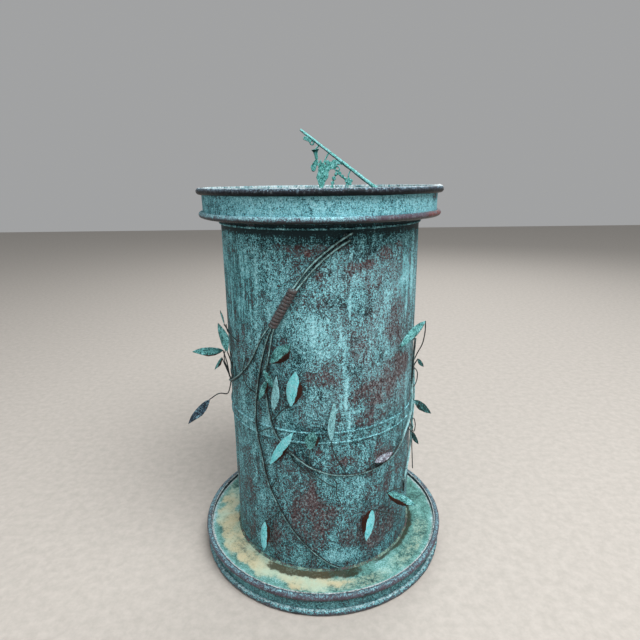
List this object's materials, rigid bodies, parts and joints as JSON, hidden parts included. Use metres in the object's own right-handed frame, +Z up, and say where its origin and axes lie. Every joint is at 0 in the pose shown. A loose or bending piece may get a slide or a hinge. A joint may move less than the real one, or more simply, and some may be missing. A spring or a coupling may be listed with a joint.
{
  "type": "pedestal sundial",
  "caption": "Sheet-copper pedestal sundial: beaded round base, tall column wrapped by a wire vine with leaves, and a drum head with a leaf-and-flower gnomon.",
  "frame": {"origin": "centre of the flat underside of the base", "axes": "+Z up along the column; the front with the vine binding faces -Y; the style rises towards -X"},
  "size_m": [0.4522, 0.4476, 0.7332],
  "materials": {
    "base_sheet": "sheet copper with a green and brown patina",
    "column_sheet": "sheet copper with a mottled green and purple-brown patina",
    "head_sheet": "sheet copper with a streaked green patina",
    "dial_sheet": "sheet copper with an even green patina",
    "dial_marks": "raised marks, worn lighter than the dial",
    "rolled_bead": "rolled copper edge, purple-brown with green highlights",
    "vine_wire": "dark weathered copper wire",
    "binding_wire": "brown-grey weathered copper wire",
    "leaf_sheet": "thin copper sheet, bright green above and brown below",
    "gnomon_casting": "cast, bright green patina",
    "screw_brass": "dull brass",
    "solder": "dull solder with lime"
  },
  "bodies": {
    "pedestal": {"base_bottom_plate": "base_sheet", "base_lower_bead": "rolled_bead", "base_skirt": "base_sheet", "base_top_plate": "base_sheet", "base_upper_bead": "rolled_bead", "column_back_seam": "column_sheet", "column_band": "column_sheet", "column_foot_solder": "solder", "column_lower_shell": "column_sheet", "column_top_plate": "column_sheet", "column_upper_shell": "column_sheet", "leaf_below_binding": "leaf_sheet", "leaf_centre": "leaf_sheet", "leaf_edge_on": "leaf_sheet", "leaf_foot_left": "leaf_sheet", "leaf_foot_right": "leaf_sheet", "leaf_front_left": "leaf_sheet", "leaf_front_right": "leaf_sheet", "leaf_left_level": "leaf_sheet", "leaf_left_low": "leaf_sheet", "leaf_left_upright": "leaf_sheet", "leaf_over_band": "leaf_sheet", "leaf_right_dark": "leaf_sheet", "leaf_right_low": "leaf_sheet", "leaf_right_top": "leaf_sheet", "leaf_short": "leaf_sheet", "leaf_stems": "vine_wire", "leaf_tucked_lower": "leaf_sheet", "leaf_tucked_upper": "leaf_sheet", "leaves_back": "leaf_sheet", "leaves_small_left": "leaf_sheet", "leaves_small_right": "leaf_sheet", "vine_binding": "binding_wire", "vine_branch_foot": "vine_wire", "vine_branch_left": "vine_wire", "vine_branch_right": "vine_wire", "vine_rod_lower": "vine_wire", "vine_rod_upper": "vine_wire", "vine_tacks": "solder", "vine_tendrils_left": "vine_wire", "vine_tendrils_right": "vine_wire"},
    "collar": {"collar_ring": "head_sheet", "collar_disc": "head_sheet"},
    "head": {"dial_chapter_rings": "dial_marks", "dial_hour_lines": "dial_marks", "dial_numerals": "dial_marks", "dial_plate": "dial_sheet", "gnomon_blossom": "gnomon_casting", "gnomon_flower": "gnomon_casting", "gnomon_foot": "gnomon_casting", "gnomon_ivy_leaf": "gnomon_casting", "gnomon_openwork": "gnomon_casting", "gnomon_screws": "screw_brass", "gnomon_style": "gnomon_casting", "gnomon_twigs": "gnomon_casting", "head_bottom_plate": "head_sheet", "head_lower_bead": "rolled_bead", "head_spigot": "head_sheet", "head_upper_bead": "rolled_bead", "head_wall": "head_sheet"}
  },
  "joints": [
    {"name": "head_turn", "type": "hinge", "parent": "pedestal", "child": "collar", "pos_m": [0, 0, 0.595], "axis": [0, 0, 1], "continuous": true},
    {"name": "head_lift", "type": "slide", "parent": "collar", "child": "head", "axis": [0, 0, 1], "range_m": [0, 0.12]}
  ]
}
